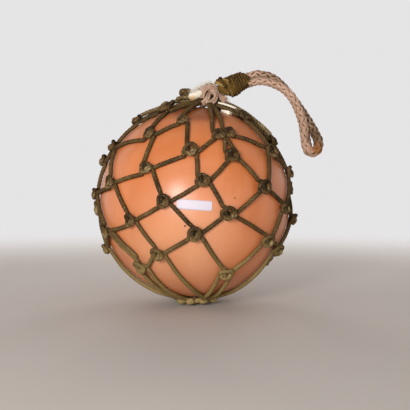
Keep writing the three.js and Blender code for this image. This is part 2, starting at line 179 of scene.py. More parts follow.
# The middle of its turns and how far they stand out, first to last: (share, x, z, half height).
WHIPPING_SHAPE = (
    (0.0, 0.046, 0.3445, 0.01), (0.22, 0.0547, 0.3428, 0.0148), (0.45, 0.0635, 0.3468, 0.0148),
    (0.62, 0.0705, 0.351, 0.0134), (0.76, 0.0768, 0.354, 0.0124), (0.88, 0.0834, 0.353, 0.0088),
    (1.0, 0.0896, 0.353, 0.0072),
)

# Crossing ends of the twine over the whipping's lower end: (points, thickness, wear).
WHIPPING_ENDS = (
    (((0.031, -0.004, 0.3485), (0.035, -0.008, 0.349), (0.04, -0.0105, 0.346), (0.046, -0.011, 0.34)),
     1.05, 1.25),
    (((0.034, -0.001, 0.3525), (0.038, -0.006, 0.3525), (0.044, -0.01, 0.349), (0.05, -0.012, 0.341)),
     1.2, 0.45),
    (((0.038, -0.009, 0.344), (0.043, -0.012, 0.34), (0.049, -0.012, 0.335), (0.055, -0.01, 0.331)),
     1.2, 0.8),
    (((0.037, -0.008, 0.34), (0.042, -0.011, 0.336), (0.048, -0.011, 0.332), (0.053, -0.008, 0.33)),
     1.1, 0.6),
    (((0.044, -0.011, 0.3535), (0.049, -0.0122, 0.353), (0.054, -0.0125, 0.3515)), 0.45, 1.3),
)
WHIPPING_KNOT_CENTRE = np.array([0.0402, -0.003, 0.356])
WHIPPING_KNOT_HALF_SIZE = (0.002, 0.002, 0.0018)

HITCH_CENTRE = np.array([0.022, -0.002, 0.33])
HITCH_OUT = (0, -0.008, 0.004)  # its bundles of yarn face this way as well as out from its centre
HITCH_CORE_RADIUS = 0.0085
# From the hitch's centre: (x, y, z, thickness).
HITCH_CORE_SHAPE = ((-0.012, 0, -0.001, 0.8), (0, 0, 0, 1.0), (0.012, 0, 0.002, 0.8))
# Bundles of yarn: (points, yarns, width at each end, yarn radius, wear).
HITCH_BUNDLES = (
    (((0.024, 0.002, 0.338), (0.034, 0.003, 0.3424), (0.0427, 0.003, 0.3456)),
     4, (0.01, 0.009), 0.0026, 0.4),
    (((0.026, -0.003, 0.33), (0.037, -0.003, 0.3315), (0.0463, -0.003, 0.335)),
     4, (0.01, 0.009), 0.0026, 0.3),
    (((0.038, -0.007, 0.335), (0.0335, -0.012, 0.3385), (0.0245, -0.016, 0.341), (0.017, -0.018, 0.3385),
      (0.0115, -0.02, 0.3315), (0.0095, -0.021, 0.323)), 4, (0.0065, 0.008), 0.0018, 0.8),
    (((0.034, 0.0, 0.343), (0.025, -0.006, 0.3455), (0.015, -0.01, 0.3425), (0.008, -0.013, 0.3365),
      (0.004, -0.015, 0.33)), 3, (0.006, 0.006), 0.002, 0.65),
    (((0.025, -0.012, 0.333), (0.0215, -0.019, 0.329), (0.02, -0.0235, 0.323), (0.016, -0.0265, 0.3178),
      (0.011, -0.028, 0.314)), 2, (0.0034, 0.0036), 0.0022, 0.95),
    (((0.022, -0.014, 0.333), (0.029, -0.018, 0.3325), (0.033, -0.0215, 0.3275), (0.0313, -0.0245, 0.3207),
      (0.025, -0.027, 0.3155), (0.0175, -0.0285, 0.3127)), 2, (0.0036, 0.004), 0.0023, 0.95),
    (((0.033, -0.01, 0.331), (0.0388, -0.013, 0.3276), (0.0442, -0.0145, 0.323), (0.049, -0.015, 0.32)),
     5, (0.003, 0.01), 0.0016, 0.85),
)
# The rope's cut end, bleached to cream.
CUT_END = ((0.012, -0.012, 0.332), (0.002, -0.018, 0.3285), (-0.008, -0.022, 0.3225))
CUT_END_RADIUS = 0.007
CREAM_WEAR = 2.0  # the wear at which rope has bleached to cream
FUZZ_FIBRES = 900
FUZZ_START = np.array([-0.002, -0.014, 0.3285])
FUZZ_END = np.array([0.026, -0.004, 0.3455])
FUZZ_SPREAD = (0.002, 0.004, 0.0015)
FUZZ_WAY = np.array([-0.6, -0.2, 0.75])
# The brushes at the cut ends of the yarns: (place, way, fibres).
BRUSHES = (
    ((0.049, -0.015, 0.32), (0.7, -0.2, -0.6), 60),
    ((0.011, -0.028, 0.314), (-0.5, -0.1, -0.8), 25),
    ((0.0175, -0.0285, 0.3127), (-0.7, -0.1, -0.6), 25),
)
FIBRE_CURL = 0.5

TAIL_FIBRES = 40
# The white twine tails: (radius, points).
TWINE_TAILS = (
    (0.0012, ((0.036, -0.021, 0.3165), (0.047, -0.0225, 0.3135), (0.0625, -0.0205, 0.3085))),
    (0.002, ((0.04, -0.031, 0.3025), (0.047, -0.033, 0.301), (0.0545, -0.034, 0.299))),
)

# ---------------- the label, and marks on the surfaces

LABEL_WIDTH = 0.0485
LABEL_HEIGHT = 0.0138
LABEL_CORNER = 0.002
LABEL_THICKNESS = 0.00035
LABEL_PLACE = (0.0015, 0.1616)  # x and z of its centre
LABEL_TILT = -4  # degrees, its left end higher

# A pale painted sheen low on the float's front, standing in for a broad soft reflection.
PAINTED_SHEEN_PLACE = (-0.03, -0.135, 0.095)
PAINTED_SHEEN_REACH = 0.13
PAINTED_SHEEN_CORE = 0.02

# Painted shadow under the gathered cords, a pit's painted shade, and small stains: (place, radius, colour,
# depth of tone).
GLASS_SHADE_AND_SPOTS = (
    ((0.006, -0.05, 0.301), 0.052, "7a3a10", 0.75),
    ((-0.0116, -0.1467, 0.1325), 0.0017, "1e0d08", 1.0),
    ((0.0578, -0.138, 0.1709), 0.0022, "8a4a24", 0.7),
    ((0.029, -0.147, 0.1745), 0.002, "9a5a34", 0.5),
)

# Marks on the rope: (place, where it fades out, where it is full).
EYE_RUST = ((0.1935, -0.004, 0.246), 0.016, 0.003)
EYE_SHADE = ((0.185, 0.0, 0.264), 0.019, 0.008)
CUT_END_STAIN = ((-0.0035, -0.0265, 0.3175), 0.0125, 0.004)

# ---------------- camera and light

CAMERA_PLACE = (0.016, -1.1, 0.196)
CAMERA_PITCH = 2.07  # degrees down
CAMERA_LENS = 60.6
FLOOR_RADIUS = 1.6
SKY_TINTS = ((0.28, (0.79, 0.78, 0.79, 1)), (0.6, (0.3, 0.29, 0.29, 1)))  # (rise, tint)


# ---------------- vectors and routes

def unit(vector):
    return np.asarray(vector, float) / np.linalg.norm(vector)


def flattened(vector, normal):
    """The unit vector of what is left of vector square to the unit normal."""
    return unit(np.asarray(vector, float) - np.dot(vector, normal) * normal)


def turned(vector, axis, degrees):
    """The vector turned round a unit axis."""
    angle = math.radians(degrees)
    along = axis * np.dot(axis, vector) * (1 - math.cos(angle))
    return vector * math.cos(angle) + np.cross(axis, vector) * math.sin(angle) + along


def smooth_route(rows, step, closed=False):
    """Places every step along a centripetal Catmull-Rom curve. Columns after x, y, z are carried along."""
    p = np.asarray(rows, float)
    if closed:
        p = np.vstack([p[-1:], p, p[:2]])
    else:
        p = np.vstack([2 * p[:1] - p[1:2], p, 2 * p[-1:] - p[-2:-1]])
    a, b, c, d = p[:-3], p[1:-2], p[2:-1], p[3:]
    t1, t2, t3 = (np.sqrt(np.linalg.norm((j - i)[:, :3], axis=1))[:, None] + 1e-6
                  for i, j in ((a, b), (b, c), (c, d)))
    t2, t3 = t1 + t2, t1 + t2 + t3
    fine = []
    for share in np.arange(ROUTE_FINENESS) / ROUTE_FINENESS:
        t = t1 + (t2 - t1) * share
        ab = a * (t1 - t) / t1 + b * t / t1
        bc = b * (t2 - t) / (t2 - t1) + c * (t - t1) / (t2 - t1)
        cd = c * (t3 - t) / (t3 - t2) + d * (t - t2) / (t3 - t2)
        abc = ab * (t2 - t) / t2 + bc * t / t2
        bcd = bc * (t3 - t) / (t3 - t1) + cd * (t - t1) / (t3 - t1)
        fine.append(abc * (t2 - t) / (t2 - t1) + bcd * (t - t1) / (t2 - t1))
    curve = np.stack(fine, axis=1).reshape(-1, p.shape[1])
    curve = np.vstack([curve, c[-1:]])
    return evenly(curve, step, closed)


def run_along(places):
    """How far along the route each place is."""
    return np.concatenate([[0], np.cumsum(np.linalg.norm(np.diff(places[:, :3], axis=0), axis=1))])


def evenly(curve, step, closed=False):
    """The curve with its places step apart; a closed curve's last place isn't its first one again."""
    run = run_along(curve)
    count = max(int(round(run[-1] / step)), 3)
    at = np.linspace(0, run[-1], count + 1)
    places = np.stack([np.interp(at, run, curve[:, i]) for i in range(curve.shape[1])], axis=1)
    return places[:-1] if closed else places


def transported_frames(places, closed=False):
    """Tangents and one normal at each place, turning as little as they can along the route."""
    if closed:
        ahead = np.roll(places, -1, axis=0) - np.roll(places, 1, axis=0)
    else:
        ahead = np.gradient(places, axis=0)
    tangents = ahead / np.linalg.norm(ahead, axis=1)[:, None]
    normals = np.zeros_like(places)
    helper = np.eye(3)[np.argmin(np.abs(tangents[0]))]
    normals[0] = flattened(helper, tangents[0])
    for i in range(1, len(places)):
        normals[i] = flattened(normals[i - 1], tangents[i])
    return tangents, normals


# ---------------- meshes

class Shell:
    """Vertices, faces, a UV for each face corner and a value of wear and painted shade for each vertex,
    gathered bit by bit.
    """

    def __init__(self):
        self.vertices, self.faces, self.uvs, self.wear_and_shade = [], [], [], []
        self.count = 0

    def add(self, vertices, faces, wear_and_shade, uvs=None):
        self.vertices.append(vertices)
        self.faces.extend([[int(i) + self.count for i in face] for face in faces])
        corners = sum(len(face) for face in faces)
        self.uvs.append(np.zeros((corners, 2)) if uvs is None else np.asarray(uvs).reshape(-1, 2))
        self.wear_and_shade.append(np.broadcast_to(wear_and_shade, len(vertices)).astype(float))
        self.count += len(vertices)

    def sweep(self, route, radius, sides=CORD_SIDES, closed=False, strands=3, lay=CORD_LAY, relief=0.09,
              blunt=1.0, groove_shade=0.4, facing=None, flatness=1.0):
        """A laid cord whose grooves follow its twist. The route's fourth column is its wear and painted
        shade, and a fifth its thickness; blunt is how many radii its rounded ends take, and the groove shade
        how much less wear its grooves have, painted shade in them. With facing, the way each place faces, it
        is a flat strand, and its edges are its grooves."""
        places, wear_and_shade = route[:, :3], route[:, 3]
        thickness = route[:, 4] if route.shape[1] > 4 else np.ones(len(route))
        tangents, normals = transported_frames(places, closed)
        if facing is not None:
            normals = np.array([flattened(way, tangent) for way, tangent in zip(facing, tangents)])
        across = np.cross(tangents, normals)
        gaps = np.linalg.norm(np.diff(places, axis=0, append=places[:1]), axis=1)
        run = np.concatenate([[0], np.cumsum(gaps)])
        length = run[-1] if closed else run[-2]
        twist = 2 * math.pi * length / lay if facing is None else 0
        shift = 0
        if closed:
            last = flattened(normals[-1], tangents[0])
            off = math.atan2(np.dot(np.cross(normals[0], last), tangents[0]), np.dot(normals[0], last))
            third = 2 * math.pi / strands
            lobes = round(twist / third)
            twist = lobes * third - off
            shift = lobes * sides // strands
        run = run[:len(places)]
        ring = 2 * math.pi * np.arange(sides) / sides
        angle = ring[None, :] + twist * (run / length)[:, None]
        grooves = 1 - np.abs(np.cos(strands / 2 * ring)) if facing is None else np.sin(ring) ** 4
        size = radius * thickness
        if not closed:
            from_end = np.minimum(run, length - run) / (radius * blunt)
            size = size * np.sqrt(np.clip(1 - (1 - np.clip(from_end, 0, 1)) ** 2, 0.03, 1))
        reach = size[:, None] * (1 - relief * grooves)[None, :]
        vertices = (places[:, None] + normals[:, None] * (np.cos(angle) * reach * flatness)[..., None]
                    + across[:, None] * (np.sin(angle) * reach)[..., None])
        rings = len(places) if closed else len(places) - 1
        i, j = np.meshgrid(np.arange(rings), np.arange(sides), indexing="ij")
        following = (i + 1) % len(places)
        moved = np.where(i + 1 == len(places), shift, 0)
        right = (j + 1) % sides
        faces = np.stack([i * sides + j, i * sides + right, following * sides + (right + moved) % sides,
                          following * sides + (j + moved) % sides], axis=-1).reshape(-1, 4)
        along = np.stack([i, i, i + 1, i + 1], axis=-1) * (length / max(rings, 1))
        round_ = np.stack([j, j + 1, j + 1, j], axis=-1) / sides
        uvs = np.stack([along, round_], axis=-1).reshape(-1, 2)
        faces = faces.tolist()
        if not closed:
            end = (len(places) - 1) * sides
            faces += [list(range(sides))[::-1], list(range(end, end + sides))]
            uvs = np.vstack([uvs, np.zeros((2 * sides, 2))])
        # The grooves get less wear, so they are painted darker: painted shade.
        self.add(vertices.reshape(-1, 3), faces, (wear_and_shade[:, None] - groove_shade * grooves[None, :]).ravel(), uvs)

    def fibres(self, roots, ways, lengths, radius, rng, wear_and_shade=0.9):
        """Thin tapering fibres, three sides and three joints each, that wander off from their roots."""
        for root, way, length in zip(roots, ways, lengths):
            way = unit(way)
            bend = unit(rng.normal(size=3)) * FIBRE_CURL
            places = [root + way * length * s + bend * length * s * s for s in (0, 0.35, 0.7, 1)]
            side = flattened(rng.normal(size=3), way)
            other = np.cross(way, side)
            rings = [[place + (side * math.cos(a) + other * math.sin(a)) * radius * (1 - 0.7 * k / 3)
                      for a in (0, 2.1, 4.2)] for k, place in enumerate(places)]
            faces = [[3 * k + a, 3 * k + (a + 1) % 3, 3 * k + 3 + (a + 1) % 3, 3 * k + 3 + a]
                     for k in range(3) for a in range(3)] + [[2, 1, 0], [9, 10, 11]]
            self.add(np.array(rings).reshape(-1, 3), faces, wear_and_shade)

    def piece(self, name, material, slot, nodes):
        """The finished object."""
        mesh = bpy.data.meshes.new(name)
        mesh.from_pydata(np.vstack(self.vertices).tolist(), [], self.faces)
        mesh.uv_layers.new(name="UVMap").data.foreach_set("uv", np.vstack(self.uvs).ravel())
        wear_and_shade = mesh.attributes.new("wear_and_shade", "FLOAT", "POINT")
        wear_and_shade.data.foreach_set("value", np.concatenate(self.wear_and_shade))
        mesh.shade_smooth()
        mesh.validate()
        return placed(name, mesh, material, nodes)


def placed(name, mesh, material, nodes):
    """The mesh as an object that rides on the body and stands for the nodes."""
    piece = bpy.data.objects.new(name, mesh)
    bpy.context.collection.objects.link(piece)
    mesh.materials.append(material)
    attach(piece, BODY)
    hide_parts(*nodes)
    return piece


# ---------------- materials

def colour(code):
    """A linear colour from an sRGB hex code."""
    levels = [int(code[i:i + 2], 16) / 255 for i in (0, 2, 4)]
    return [c / 12.92 if c <= 0.04045 else ((c + 0.055) / 1.055) ** 2.4 for c in levels] + [1.0]


class Look:
    """A procedural material being put together, one tint of its base colour over another."""

    def __init__(self, name, base, **plain):
        self.material = bpy.data.materials.new(name)
        self.material.use_nodes = True
        self.tree = self.material.node_tree
        self.shader = self.tree.nodes["Principled BSDF"]
        self.base = colour(base)
        for socket, value in plain.items():
            self.set(socket.replace("_", " "), value)
        self.place = self.node("TexCoord").outputs["Object"]
        self.uv = self.node("TexCoord").outputs["UV"]

    def put(self, socket, value):
        if isinstance(value, bpy.types.NodeSocket):
            self.tree.links.new(value, socket)
        else:
            socket.default_value = value

    def node(self, kind, inputs=None, **settings):
        made = self.tree.nodes.new("ShaderNode" + kind)
        for name, value in settings.items():
            setattr(made, name, value)
        for socket, value in (inputs or {}).items():
            self.put(made.inputs[socket], value)
        return made

    def stretched(self, vector, scale):
        return self.node("Mapping", {"Vector": vector, "Scale": scale}).outputs["Vector"]

    def noise(self, scale, detail, vector=None, distortion=0.0):
        inputs = {"Vector": vector or self.place, "Scale": scale, "Detail": detail,
                  "Distortion": distortion}
        return self.node("TexNoise", inputs).outputs["Fac"]

    def ranged(self, value, low, high, to_low=0.0, to_high=1.0):
        """The value stretched so that low and high give to_low and to_high, and no further."""
        inputs = {"Value": value, "From Min": low, "From Max": high, "To Min": to_low, "To Max": to_high}
        return self.node("MapRange", inputs, interpolation_type="SMOOTHSTEP").outputs["Result"]

    def maths(self, operation, a, b):
        return self.node("Math", {0: a, 1: b}, operation=operation).outputs[0]

    def near(self, place, outer, inner, depth=1.0):
        """The depth within inner of the place, fading to nothing at outer."""
        away = self.node("VectorMath", {0: self.place, 1: place}, operation="DISTANCE").outputs["Value"]
        return self.ranged(away, outer, inner, 0.0, depth)

    def tint(self, factor, code):
        """Takes the base colour towards another one, as far as the factor says."""
        inputs = {0: factor, 6: self.base, 7: colour(code)}
        self.base = self.node("Mix", inputs, data_type="RGBA").outputs[2]
        self.set("Base Color", self.base)

    def height(self):
        return self.node("SeparateXYZ", {0: self.place}).outputs["Z"]

    def attribute(self, name):
        return self.node("Attribute", attribute_name=name).outputs["Fac"]

    def bumped(self, height, strength, distance):
        bump = self.node("Bump", {"Height": height, "Strength": strength, "Distance": distance})
        self.set("Normal", bump.outputs["Normal"])

    def set(self, socket, value):
        self.put(self.shader.inputs[socket], value)


def glass_look():
    """Opaque glass, terracotta orange, mottled and faintly streaked, with a soft gloss and painted sheen and
    shadow.
    """
    look = Look("float_glass", "b86631", IOR=1.5, Specular_IOR_Level=0.35, Coat_Weight=0.4,
                Coat_Roughness=0.3)
    streaks = look.noise(6.0, 5.0, look.stretched(look.place, (2.2, 2.2, 0.8)), 0.6)
    clouds = look.noise(7.0, 4.0, distortion=0.4)
    look.tint(look.ranged(streaks, 0.36, 0.66), "c67645")
    look.tint(look.ranged(clouds, 0.42, 0.7, 0.0, 0.7), "cb8560")
    look.tint(look.ranged(look.noise(55.0, 3.0), 0.62, 0.78, 0.0, 0.3), "a55a2e")
    # A pale painted sheen on the front, broken up by the clouds.
    patchy = look.ranged(clouds, 0.25, 0.6, 0.55, 0.9)
    look.tint(look.maths("MULTIPLY", look.near(PAINTED_SHEEN_PLACE, PAINTED_SHEEN_REACH, PAINTED_SHEEN_CORE), patchy), "cf9069")
    # The first spot is painted shadow under the gathered cords, and the pit is a dark spot of painted shade.
    for place, radius, tone, depth in GLASS_SHADE_AND_SPOTS:
        look.tint(look.near(place, radius, radius * 0.6, depth), tone)
    look.set("Roughness", look.ranged(look.noise(30.0, 4.0), 0.35, 0.7, 0.38, 0.48))
    look.bumped(look.noise(14.0, 3.0), 0.12, 0.002)
    return look.material


def cord_look(name, dark, mid, light, roughness, low_tint=None):
    """Laid fibre cord: painted shade in its hollows, bleached where it is rubbed, tinted towards the foot.
    """
    look = Look(name, dark, Roughness=roughness, Specular_IOR_Level=0.15)
    wear_and_shade = look.attribute("wear_and_shade")
    blotch = look.noise(70.0, 4.0)
    tone = look.maths("ADD", look.maths("MULTIPLY", wear_and_shade, 0.75), look.maths("MULTIPLY", blotch, 0.55))
    look.tint(look.ranged(tone, 0.25, 0.75), mid)
    look.tint(look.ranged(tone, 0.72, 1.15), light)
    look.tint(look.ranged(look.noise(420.0, 2.0), 0.58, 0.75, 0.0, 0.55), light)
    if low_tint:
        look.tint(look.ranged(look.height(), 0.14, 0.02, 0.0, 0.75), low_tint)
    yarns = look.noise(1.0, 2.0, look.stretched(look.uv, (260.0, 26.0, 1.0)))
    look.tint(look.ranged(yarns, 0.35, 0.62, 0.4, 0.0), dark)
    look.bumped(look.maths("ADD", yarns, look.noise(900.0, 2.0)), 0.55, 0.0006)
    return look.material


def rope_look():
    """Beige plaited rope, darker where its wear is low, which is painted shade, rusty at the eye, and cream
    where it is cut.
    """
    look = Look("loop_rope", "a3846f", Roughness=0.85, Specular_IOR_Level=0.25)
    wear_and_shade = look.attribute("wear_and_shade")
    blotch = look.noise(60.0, 4.0)
    look.tint(look.ranged(blotch, 0.3, 0.7), "bd9b87")
    # Low wear darkens it: painted shade on the far leg, in the core and where strands go under.
    look.tint(look.ranged(wear_and_shade, 0.5, 0.1, 0.0, 0.75), "6b553c")
    look.tint(look.ranged(wear_and_shade, 0.1, -0.2), "3a281c")
    look.tint(look.maths("MULTIPLY", look.near(*EYE_RUST), look.ranged(blotch, 0.3, 0.6)), "8a5320")
    look.tint(look.near(*EYE_SHADE, 0.8), "4f3822")
    yarns = look.noise(1.0, 2.0, look.stretched(look.uv, (160.0, 10.0, 1.0)))
    look.tint(look.ranged(yarns, 0.32, 0.6, 0.35, 0.0), "6f543f")
    look.tint(look.ranged(wear_and_shade, 1.2, 1.8), "ddd3c2")
    look.tint(look.near(*CUT_END_STAIN, 0.85), "b08238")
    look.bumped(look.maths("ADD", yarns, look.noise(900.0, 2.0)), 0.6, 0.0006)
    return look.material


def white_twine_look():
    """Off-white twine with a few stains."""
    look = Look("white_twine", "efe8d8", Roughness=0.75, Specular_IOR_Level=0.3)
    look.tint(look.ranged(look.noise(160.0, 3.0), 0.4, 0.75, 0.0, 0.5), "b3a48a")
    look.bumped(look.noise(700.0, 2.0), 0.5, 0.0004)
    return look.material


def paper_look():
    """A glossy pale sticker, a little faded and scuffed."""
    look = Look("label_paper", "c4bcc6", Roughness=0.45, Specular_IOR_Level=0.3)
    look.tint(look.ranged(look.noise(90.0, 4.0), 0.45, 0.8, 0.0, 0.35), "b3a9ba")
    look.bumped(look.noise(240.0, 2.0), 0.08, 0.0003)
    return look.material


def floor_look():
    """Pale stone, fading out into the studio's wall."""
    look = Look("floor", "bdb5ae", Roughness=0.9, Specular_IOR_Level=0.1)
    look.tint(look.noise(3.0, 3.0), "c5bdb6")
    away = look.node("VectorMath", {0: look.place}, operation="LENGTH").outputs["Value"]
    look.set("Alpha", look.ranged(away, 0.6, FLOOR_RADIUS, 1.0, 0.0))
    return look.material


# ---------------- camera, light and floor

def make_camera():
    """The camera, level with the float and a little above its middle."""
    camera = bpy.data.objects.new("camera", bpy.data.cameras.new("camera"))
    camera.data.lens = CAMERA_LENS
    camera.data.sensor_width = 36
    camera.location = CAMERA_PLACE
    camera.rotation_euler = (math.radians(90 - CAMERA_PITCH), 0, 0)
    bpy.context.collection.objects.link(camera)
    bpy.context.scene.camera = camera


def area_light(name, place, target, size, power, tint, reflected=True):
    """A round soft lamp that faces the target; its own image may be left out of the gloss."""
    lamp = bpy.data.lights.new(name, "AREA")
    lamp.shape = "DISK"
    lamp.size = size
    lamp.energy = power
    lamp.color = tint
    light = bpy.data.objects.new(name, lamp)
    light.location = place
    light.visible_glossy = reflected
    light.rotation_euler = (Vector(target) - Vector(place)).to_track_quat("-Z", "Y").to_euler()
    bpy.context.collection.objects.link(light)


def make_studio():
    """A key lamp at the upper left, a low fill, and two lamps behind that shape the rim."""
    centre = tuple(FLOAT_CENTRE)
    area_light("key", (-0.60, -1.75, 0.55), centre, 0.45, 21, (1.0, 0.98, 0.95))
    area_light("low", (-0.30, -1.70, 0.10), centre, 0.9, 13.8, (1.0, 0.98, 0.96))
    area_light("back_left", (-0.60, 1.9, 1.0), centre, 1.0, 14, (0.98, 0.99, 1.0), False)
    area_light("back_right", (0.75, 1.8, 1.0), centre, 1.0, 14, (1.0, 0.99, 0.97), False)
    bpy.context.scene.world = make_sky()
    bpy.context.scene.view_settings.view_transform = "Standard"


def make_sky():
    """Pale walls all round, and a dimmer ceiling."""
    world = bpy.data.worlds.new("studio")
    world.use_nodes = True
    tree = world.node_tree
    split = tree.nodes.new("ShaderNodeSeparateXYZ")
    tree.links.new(tree.nodes.new("ShaderNodeTexCoord").outputs["Generated"], split.inputs[0])
    shade = tree.nodes.new("ShaderNodeValToRGB")
    tree.links.new(split.outputs["Z"], shade.inputs["Fac"])
    tree.links.new(shade.outputs["Color"], tree.nodes["Background"].inputs["Color"])
    for element, (rise, tint) in zip(shade.color_ramp.elements, SKY_TINTS):
        element.position = rise
        element.color = tint
    return world


def make_floor():
    """A plain disc to stand on."""
    mesh = bpy.data.meshes.new("floor")
    shape = bmesh.new()
    bmesh.ops.create_circle(shape, cap_ends=True, segments=96, radius=FLOOR_RADIUS)
    shape.to_mesh(mesh)
    floor = bpy.data.objects.new("floor", mesh)
    bpy.context.collection.objects.link(floor)
    mesh.materials.append(floor_look())


# ---------------- the carrying loop

def braid_strand(route, way, phase):
    """One strand of a round braid along the rope, going round it one way or the other."""
    places, thickness = route[:, :3], route[:, 4]
    run = run_along(places)
    tangents, normals = transported_frames(places)
    across = np.cross(tangents, normals)
    angle = 2 * math.pi * (way * run / BRAID_TURN + phase / BRAID_STRANDS)
    over = way * np.sin(2 * math.pi * BRAID_STRANDS * run / BRAID_TURN)
    reach = thickness * (BRAID_RADIUS + BRAID_WEAVE * over)
    facing = normals * np.cos(angle)[:, None] + across * np.sin(angle)[:, None]
    # Where it goes under the others it is painted darker, as shade.
    wear_and_shade = route[:, 3] - BRAID_UNDER_SHADE * np.clip(0.2 - over, 0, 1)
    return np.column_stack([places + facing * reach[:, None], wear_and_shade, thickness]), facing


def make_rope():
    """The loop, end to end: out of the whipping, round the eye and back."""
    rows = np.array(ROPE_ROUTE)
    share = np.linspace(0, 1, len(rows))
    wear_and_shade, thickness = (np.interp(share, *zip(*stops)) for stops in (ROPE_WEAR_AND_SHADE, ROPE_THICKNESS))
    route = smooth_route(np.column_stack([rows, wear_and_shade, thickness]), BRAID_STEP)
    tucked = route[[0, *range(len(route)), -1]]
    tucked[0, :3] -= unit(route[1, :3] - route[0, :3]) * BRAID_TUCK
    tucked[-1, :3] += unit(route[-1, :3] - route[-2, :3]) * BRAID_TUCK
    tucked = evenly(tucked, BRAID_STEP)
    shell = Shell()
    for way in (1, -1):
        for strand in range(BRAID_STRANDS):
            strand_route, facing = braid_strand(tucked, way, strand if way == 1 else strand + 0.5)
            shell.sweep(strand_route, BRAID_STRAND_HALF_WIDTH, 10, relief=0, groove_shade=BRAID_EDGE_SHADE,
                        facing=facing, flatness=BRAID_STRAND_FLATNESS)
    # The core is painted dark, as the shade inside the braid.
    core = tucked.copy()
    core[:, 3] = -0.3
    shell.sweep(core, BRAID_RADIUS * 0.9, 10, relief=0)
    rope = shell.piece("handle_rope_plait", rope_look(), "loop_rope", ["handle_rope"])


def whipping_place(turn, out=1.0):
    """A place on the whipping after so many turns."""
    shares, *columns = zip(*WHIPPING_SHAPE)
    x, z, stand = (np.interp(turn / WHIPPING_TURNS, shares, column) for column in columns)
    lean, angle = math.radians(WHIPPING_LEAN), 2 * math.pi * turn
    height = np.array([-math.sin(lean), 0.0, math.cos(lean)])
    depth = np.array([0.0, -WHIPPING_FLATNESS, 0.0])
    return np.array([x, 0.0, z]) + (height * math.cos(angle) + depth * math.sin(angle)) * stand * out


def make_whipping():
    """Tight turns of tarred twine, with the knot it was finished off with and a few crossing ends."""
    rng = np.random.default_rng(21)
    turns = np.arange(0, WHIPPING_TURNS, 1 / WHIPPING_STEPS_PER_TURN)
    rows = [[*whipping_place(turn, rng.uniform(0.97, 1.03)), rng.uniform(0.3, 0.7) + 0.4 * (turn < 2.5)]
            for turn in turns]
    shell = Shell()
    shell.sweep(smooth_route(rows, 0.0012), WHIPPING_TWINE_RADIUS, 12, lay=0.013, relief=0.2)
    # The core has no wear, so it is painted dark: the shade inside the turns.
    core = [[x, 0.0, z, 0.0, stand] for _, x, z, stand in WHIPPING_SHAPE]
    shell.sweep(smooth_route(core, 0.002), WHIPPING_CORE, 12, relief=0, lay=1.0)
    for points, thickness, wear_and_shade in WHIPPING_ENDS:
        rows = [[*point, wear_and_shade, thickness] for point in points]
        shell.sweep(smooth_route(rows, 0.001), WHIPPING_TWINE_RADIUS, lay=0.012)
    shell.sweep(wound(WHIPPING_KNOT_CENTRE, WHIPPING_KNOT_HALF_SIZE, 3, 5, 0.15), 0.0018)
    look = cord_look("whipping_twine", "2b1f0c", "64491c", "a08048", 0.8)
    shell.piece("handle_whipping_twine", look, "whipping_twine", ["handle_whipping"])


def wound(centre, half_size, turns, waves, wear_and_shade):
    """A cord wound over and over round an egg, as a lump of turns is."""
    rows = []
    for k in range(turns * 12):
        round_ = 2 * math.pi * k / 12
        lift = 0.9 * math.sin(round_ * waves / turns)
        level = math.cos(lift)
        spot = np.array([level * math.cos(round_), level * math.sin(round_), math.sin(lift)])
        rows.append([*(centre + spot * half_size), wear_and_shade + 0.25 * math.sin(round_ * 1.7)])
    return smooth_route(rows, WOUND_STEP)


def bundle(shell, points, yarns, width, radius, wear_and_shade, rng):
    """Yarns side by side along the points, in a flat bundle that faces out from the hitch."""
    route = smooth_route([[*point, wear_and_shade] for point in points], 0.0012)
    places = route[:, :3]
    tangents, _ = transported_frames(places)
    outward = places - HITCH_CENTRE + HITCH_OUT
    facing = np.array([flattened(way, tangent) for way, tangent in zip(outward, tangents)])
    across = np.cross(tangents, facing)
    share = np.linspace(0, 1, len(places))
    spread = np.interp(share, (0, 1), width)
    for k in range(yarns):
        off = (k / max(yarns - 1, 1) - 0.5) * spread
        lift = radius * 0.5 * np.sin(share * 9 + rng.uniform(0, 6))
        yarn = places + across * off[:, None] + facing * lift[:, None]
        tone = np.full(len(places), wear_and_shade + rng.uniform(-0.15, 0.15))
        shell.sweep(np.column_stack([yarn, tone]), radius, 10, strands=5, lay=0.03, relief=0.18, blunt=0.5)


def make_hitch():
    """The rope's end hitched over the collar, with its frayed tail and cut end."""
    rng = np.random.default_rng(5)
    shell = Shell()
    core = [[*(HITCH_CENTRE + reach), 0.3, thickness] for *reach, thickness in HITCH_CORE_SHAPE]
    shell.sweep(smooth_route(core, 0.002), HITCH_CORE_RADIUS, 15, lay=0.03, relief=0.15)
    for points, yarns, width, radius, wear_and_shade in HITCH_BUNDLES:
        bundle(shell, points, yarns, width, radius, wear_and_shade, rng)
    cut_end = smooth_route([[*point, CREAM_WEAR] for point in CUT_END], 0.0012)
    shell.sweep(cut_end, CUT_END_RADIUS, 12, relief=0.1, lay=0.03, blunt=0.6, groove_shade=0.0)
    frayed(shell, rng)
    shell.piece("handle_hitch_strands", rope_look(), "loop_rope", ["handle_hitch"])


def frayed(shell, rng):
    """Loose fibres: a pale fuzz along the back of the hitch, and brushes at the cut tails."""
    share = rng.uniform(0, 1, FUZZ_FIBRES)[:, None]
    roots = FUZZ_START + (FUZZ_END - FUZZ_START) * share + rng.normal(size=(FUZZ_FIBRES, 3)) * FUZZ_SPREAD
    ways = FUZZ_WAY + rng.normal(size=(FUZZ_FIBRES, 3)) * 0.45
    shell.fibres(roots, ways, rng.uniform(0.004, 0.010, FUZZ_FIBRES), 0.00022, rng, CREAM_WEAR)
    for tip, way, count in BRUSHES:
        roots = np.array(tip) + rng.normal(size=(count, 3)) * 0.0022
        ways = np.array(way) + rng.normal(size=(count, 3)) * 0.35
        shell.fibres(roots, ways, rng.uniform(0.003, 0.007, count), 0.0002, rng)


